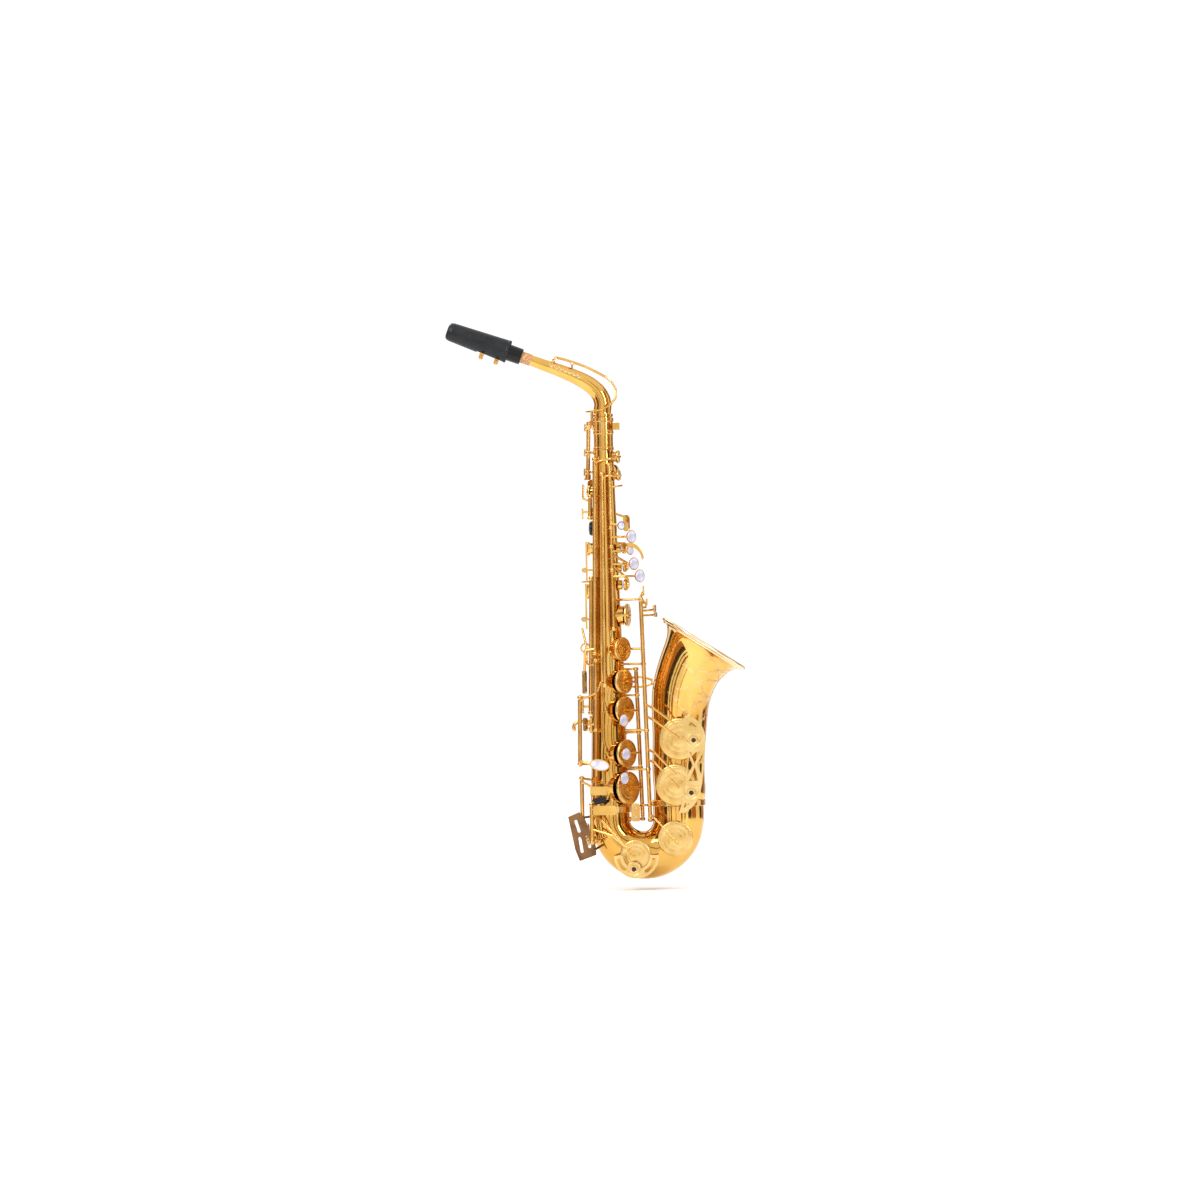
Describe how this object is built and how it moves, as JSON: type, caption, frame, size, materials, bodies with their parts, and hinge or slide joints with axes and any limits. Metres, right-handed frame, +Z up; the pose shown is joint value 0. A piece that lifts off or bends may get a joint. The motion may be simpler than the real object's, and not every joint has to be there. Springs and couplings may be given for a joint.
{
  "type": "saxophone",
  "caption": "Alto saxophone with swivelling neck, capped mouthpiece, pivoting keys and an upturned bell, hung from its strap ring.",
  "frame": {"origin": "centre of the neck-strap ring on the back of the body tube", "axes": "+Z up along the body tube, +X from the player towards the bell, +Y towards the player's left hand; the ring's hole runs along Y"},
  "size_m": [0.3752, 0.123, 0.7163],
  "materials": {
    "lacquered_brass": "bright gold lacquer over polished brass",
    "fittings_brass": "gold lacquer",
    "key_brass": "gold lacquer, cups spun",
    "steel": "ground steel",
    "black_plastic": "polished",
    "ebonite": "polished hard rubber",
    "cap_plastic": "matt moulded",
    "cork": "sanded cork, lightly greased",
    "cane": "shaved cane",
    "felt": "pressed felt",
    "pearl": "polished mother of pearl"
  },
  "bodies": {
    "horn": {"body_tube": "lacquered_brass", "bow": "lacquered_brass", "bell": "lacquered_brass", "bow_ferrules": "fittings_brass", "neck_receiver": "fittings_brass", "bell_brace": "fittings_brass", "key_posts": "fittings_brass", "hinge_rods": "steel", "strap_ring": "fittings_brass", "thumb_hook": "fittings_brass", "thumb_rest": "black_plastic", "bell_key_guard": "fittings_brass", "low_c_guard": "fittings_brass", "guard_bumpers": "felt", "rear_guard": "fittings_brass"},
    "neck": {"neck_tube": "lacquered_brass", "neck_cork": "cork"},
    "mouthpiece_set": {"mouthpiece": "ebonite", "reed": "cane", "ligature": "fittings_brass"},
    "cap": {"mouthpiece_cap": "cap_plastic"},
    "lig_screw_rear": {"ligature_screw_rear": "fittings_brass"},
    "lig_screw_front": {"ligature_screw_front": "fittings_brass"},
    "receiver_screw": {"neck_screw": "fittings_brass"},
    "octave_neck": {"neck_octave_key": "key_brass"},
    "octave_touch": {"octave_lever": "key_brass"},
    "octave_rocker": {"octave_rod": "key_brass"},
    "high_e": {"high_e_key": "key_brass"},
    "high_fs": {"high_fs_key": "key_brass"},
    "high_fs_touch": {"high_fs_lever": "key_brass"},
    "side_c_long": {"side_c_touch": "key_brass"},
    "side_c_rocker": {"side_c_cup": "key_brass"},
    "side_bb_long": {"side_bb_touch": "key_brass"},
    "side_bb_rocker": {"side_bb_cup": "key_brass"},
    "front_f": {"front_f_key": "key_brass"},
    "palm_f": {"palm_f_key": "key_brass"},
    "palm_eb": {"palm_eb_key": "key_brass"},
    "palm_d": {"palm_d_key": "key_brass"},
    "upper_b": {"b_key": "key_brass", "b_pearl": "pearl"},
    "upper_bis": {"bis_key": "key_brass"},
    "upper_a": {"a_key": "key_brass", "a_pearl": "pearl"},
    "upper_g": {"g_key": "key_brass", "g_pearl": "pearl"},
    "g_sharp": {"g_sharp_key": "key_brass"},
    "f_sharp": {"f_sharp_key": "key_brass"},
    "lower_f": {"f_key": "key_brass", "f_pearl": "pearl"},
    "lower_e": {"e_key": "key_brass", "e_pearl": "pearl"},
    "lower_d": {"d_key": "key_brass", "d_pearl": "pearl"},
    "low_cs_touch": {"low_cs_lever": "key_brass"},
    "low_cs": {"low_cs_key": "key_brass"},
    "low_b": {"low_b_key": "key_brass"},
    "low_bb": {"low_bb_key": "key_brass"},
    "low_c": {"low_c_key": "key_brass"},
    "low_eb": {"low_eb_key": "key_brass"},
    "roller": {"pinky_roller": "black_plastic"}
  },
  "joints": [
    {"name": "neck_swivel", "type": "hinge", "parent": "horn", "child": "neck", "pos_m": [0.028, 0, 0.283], "axis": [0, 0, 1], "range_deg": [-20, 20]},
    {"name": "mouthpiece_slide", "type": "slide", "parent": "neck", "child": "mouthpiece_set", "axis": [-0.9354, 0, 0.3535], "range_m": [0, 0.008]},
    {"name": "cap_slide", "type": "slide", "parent": "mouthpiece_set", "child": "cap", "axis": [-0.9354, 0, 0.3535], "range_m": [0, 0.08]},
    {"name": "lig_screw_rear_turn", "type": "hinge", "parent": "mouthpiece_set", "child": "lig_screw_rear", "pos_m": [-0.10805, 0, 0.36714], "axis": [0, 1, 0], "continuous": true},
    {"name": "lig_screw_front_turn", "type": "hinge", "parent": "mouthpiece_set", "child": "lig_screw_front", "pos_m": [-0.12714, 0, 0.37435], "axis": [0, 1, 0], "continuous": true},
    {"name": "receiver_screw_turn", "type": "hinge", "parent": "horn", "child": "receiver_screw", "pos_m": [0.0455, 0, 0.283], "axis": [0, 1, 0], "continuous": true},
    {"name": "octave_lever_press", "type": "hinge", "parent": "horn", "child": "octave_touch", "pos_m": [0.00923, -0.00758, 0.18], "axis": [0.0253, 0.0102, 0.9996], "range_deg": [-7, 0], "stiffness_Nm_per_rad": 0.06, "springref_deg": 17.19},
    {"name": "octave_rocker_turn", "type": "hinge", "parent": "horn", "child": "octave_rocker", "pos_m": [0.0083, 0, 0.252], "axis": [0.0265, 0, 0.9996], "range_deg": [0, 7], "stiffness_Nm_per_rad": 0.06, "springref_deg": -17.19},
    {"name": "octave_neck_rock", "type": "hinge", "parent": "neck", "child": "octave_neck", "pos_m": [-0.0103, 0, 0.3645], "axis": [0, 1, 0], "range_deg": [0, 2.1], "stiffness_Nm_per_rad": 0.06, "springref_deg": -17.19},
    {"name": "high_e_press", "type": "hinge", "parent": "horn", "child": "high_e", "pos_m": [0.01388, -0.01682, 0.117], "axis": [0.0175, 0.0209, 0.9996], "range_deg": [-7, 0], "stiffness_Nm_per_rad": 0.06, "springref_deg": 17.19},
    {"name": "high_fs_open", "type": "hinge", "parent": "horn", "child": "high_fs", "pos_m": [0.02443, -0.02251, 0.0865], "axis": [0.0043, 0.0269, 0.9996], "range_deg": [-6, 0], "stiffness_Nm_per_rad": 0.06, "springref_deg": 17.19},
    {"name": "high_fs_press", "type": "hinge", "parent": "horn", "child": "high_fs_touch", "pos_m": [-0.0091, -0.017, -0.1055], "axis": [0.0154, 0, 0.9999], "range_deg": [0, 6], "stiffness_Nm_per_rad": 0.06, "springref_deg": -17.19},
    {"name": "side_c_press", "type": "hinge", "parent": "horn", "child": "side_c_long", "pos_m": [0.00696, -0.01366, 0.0025], "axis": [0.0229, 0.0149, 0.9996], "range_deg": [-6, 0], "stiffness_Nm_per_rad": 0.06, "springref_deg": 17.19},
    {"name": "side_c_rock", "type": "hinge", "parent": "horn", "child": "side_c_rocker", "pos_m": [0.0002, 0, 0.0996], "axis": [0, 1, 0], "range_deg": [-7.01, 0], "stiffness_Nm_per_rad": 0.06, "springref_deg": 17.19},
    {"name": "side_bb_press", "type": "hinge", "parent": "horn", "child": "side_bb_long", "pos_m": [0.01187, -0.02141, -0.0605], "axis": [0.0164, 0.0218, 0.9996], "range_deg": [-5, 0], "stiffness_Nm_per_rad": 0.06, "springref_deg": 17.19},
    {"name": "side_bb_rock", "type": "hinge", "parent": "horn", "child": "side_bb_rocker", "pos_m": [-0.0015, 0, 0.0368], "axis": [0, 1, 0], "range_deg": [-7.01, 0], "stiffness_Nm_per_rad": 0.06, "springref_deg": 17.19},
    {"name": "palm_f_press", "type": "hinge", "parent": "horn", "child": "palm_f", "pos_m": [0.02975, 0.02005, 0.221], "axis": [-0.0024, -0.0272, 0.9996], "range_deg": [0, 9], "stiffness_Nm_per_rad": 0.06, "springref_deg": -17.19},
    {"name": "front_f_press", "type": "hinge", "parent": "horn", "child": "front_f", "pos_m": [0.03541, -0.02037, 0.1275], "axis": [-0.0093, 0.0256, 0.9996], "range_deg": [0, 9], "stiffness_Nm_per_rad": 0.06, "springref_deg": -17.19},
    {"name": "palm_eb_press", "type": "hinge", "parent": "horn", "child": "palm_eb", "pos_m": [0.01708, 0.01748, 0.203], "axis": [0.0145, -0.0231, 0.9996], "range_deg": [-7, 0], "stiffness_Nm_per_rad": 0.06, "springref_deg": 17.19},
    {"name": "palm_d_press", "type": "hinge", "parent": "horn", "child": "palm_d", "pos_m": [0.03097, 0.02117, 0.175], "axis": [-0.0038, -0.027, 0.9996], "range_deg": [-9, 0], "stiffness_Nm_per_rad": 0.06, "springref_deg": 17.19},
    {"name": "upper_b_press", "type": "hinge", "parent": "horn", "child": "upper_b", "pos_m": [0.03541, -0.02037, 0.1275], "axis": [-0.0093, 0.0256, 0.9996], "range_deg": [0, 8], "stiffness_Nm_per_rad": 0.06, "springref_deg": -17.19},
    {"name": "upper_bis_press", "type": "hinge", "parent": "horn", "child": "upper_bis", "pos_m": [0.03541, -0.02037, 0.1275], "axis": [-0.0093, 0.0256, 0.9996], "range_deg": [0, 8], "stiffness_Nm_per_rad": 0.06, "springref_deg": -17.19},
    {"name": "upper_a_press", "type": "hinge", "parent": "horn", "child": "upper_a", "pos_m": [0.03541, -0.02037, 0.1275], "axis": [-0.0093, 0.0256, 0.9996], "range_deg": [0, 8], "stiffness_Nm_per_rad": 0.06, "springref_deg": -17.19},
    {"name": "upper_g_press", "type": "hinge", "parent": "horn", "child": "upper_g", "pos_m": [0.03541, -0.02037, 0.1275], "axis": [-0.0093, 0.0256, 0.9996], "range_deg": [0, 8], "stiffness_Nm_per_rad": 0.06, "springref_deg": -17.19},
    {"name": "g_sharp_press", "type": "hinge", "parent": "horn", "child": "g_sharp", "pos_m": [0.07258, -0.009, 0.02], "axis": [-0.0252, 0, 0.9997], "range_deg": [0, 7], "stiffness_Nm_per_rad": 0.06, "springref_deg": -17.19},
    {"name": "f_sharp_press", "type": "hinge", "parent": "horn", "child": "f_sharp", "pos_m": [0.06652, 0, -0.1235], "axis": [-0.0273, 0, 0.9996], "range_deg": [-9, 0], "stiffness_Nm_per_rad": 0.06, "springref_deg": 17.19},
    {"name": "lower_f_press", "type": "hinge", "parent": "horn", "child": "lower_f", "pos_m": [0.06652, 0, -0.1235], "axis": [-0.0273, 0, 0.9996], "range_deg": [-9, 0], "stiffness_Nm_per_rad": 0.06, "springref_deg": 17.19},
    {"name": "lower_e_press", "type": "hinge", "parent": "horn", "child": "lower_e", "pos_m": [0.06652, 0, -0.1235], "axis": [-0.0273, 0, 0.9996], "range_deg": [-9, 0], "stiffness_Nm_per_rad": 0.06, "springref_deg": 17.19},
    {"name": "lower_d_press", "type": "hinge", "parent": "horn", "child": "lower_d", "pos_m": [0.06652, 0, -0.1235], "axis": [-0.0273, 0, 0.9996], "range_deg": [-9, 0], "stiffness_Nm_per_rad": 0.06, "springref_deg": 17.19},
    {"name": "low_cs_press", "type": "hinge", "parent": "horn", "child": "low_cs_touch", "pos_m": [0.0751, -0.017, -0.08], "axis": [-0.0252, 0, 0.9997], "range_deg": [0, 7], "stiffness_Nm_per_rad": 0.06, "springref_deg": -17.19},
    {"name": "low_cs_open", "type": "hinge", "parent": "horn", "child": "low_cs", "pos_m": [0.0751, -0.017, -0.08], "axis": [-0.0252, 0, 0.9997], "range_deg": [-7, 0], "stiffness_Nm_per_rad": 0.06, "springref_deg": 17.19},
    {"name": "low_b_press", "type": "hinge", "parent": "horn", "child": "low_b", "pos_m": [0.07428, -0.025, -0.0475], "axis": [-0.0252, 0, 0.9997], "range_deg": [0, 9], "stiffness_Nm_per_rad": 0.06, "springref_deg": -17.19},
    {"name": "low_bb_press", "type": "hinge", "parent": "horn", "child": "low_bb", "pos_m": [0.07365, -0.033, -0.0225], "axis": [-0.0252, 0, 0.9997], "range_deg": [0, 9], "stiffness_Nm_per_rad": 0.06, "springref_deg": -17.19},
    {"name": "low_c_press", "type": "hinge", "parent": "horn", "child": "low_c", "pos_m": [0.004, -0.031, -0.2245], "axis": [0, 0, 1], "range_deg": [0, 7], "stiffness_Nm_per_rad": 0.06, "springref_deg": -17.19},
    {"name": "low_eb_press", "type": "hinge", "parent": "horn", "child": "low_eb", "pos_m": [-0.008, -0.017, -0.204], "axis": [0, 0, 1], "range_deg": [0, 7], "stiffness_Nm_per_rad": 0.06, "springref_deg": -17.19},
    {"name": "roller_spin", "type": "hinge", "parent": "low_eb", "child": "roller", "pos_m": [0.0147, -0.041, -0.1943], "axis": [0.9774, 0, 0.2116], "continuous": true}
  ],
  "couplings": [
    {"joint": "octave_rocker_turn", "follows": "octave_lever_press", "ratio": -1},
    {"joint": "octave_neck_rock", "follows": "octave_lever_press", "ratio": -0.3},
    {"joint": "high_fs_open", "follows": "high_fs_press", "ratio": -1},
    {"joint": "side_c_rock", "follows": "side_c_press", "ratio": 1.1667},
    {"joint": "side_bb_rock", "follows": "side_bb_press", "ratio": 1.4},
    {"joint": "front_f_press", "follows": "palm_f_press", "ratio": 1},
    {"joint": "low_cs_open", "follows": "low_cs_press", "ratio": -1}
  ]
}
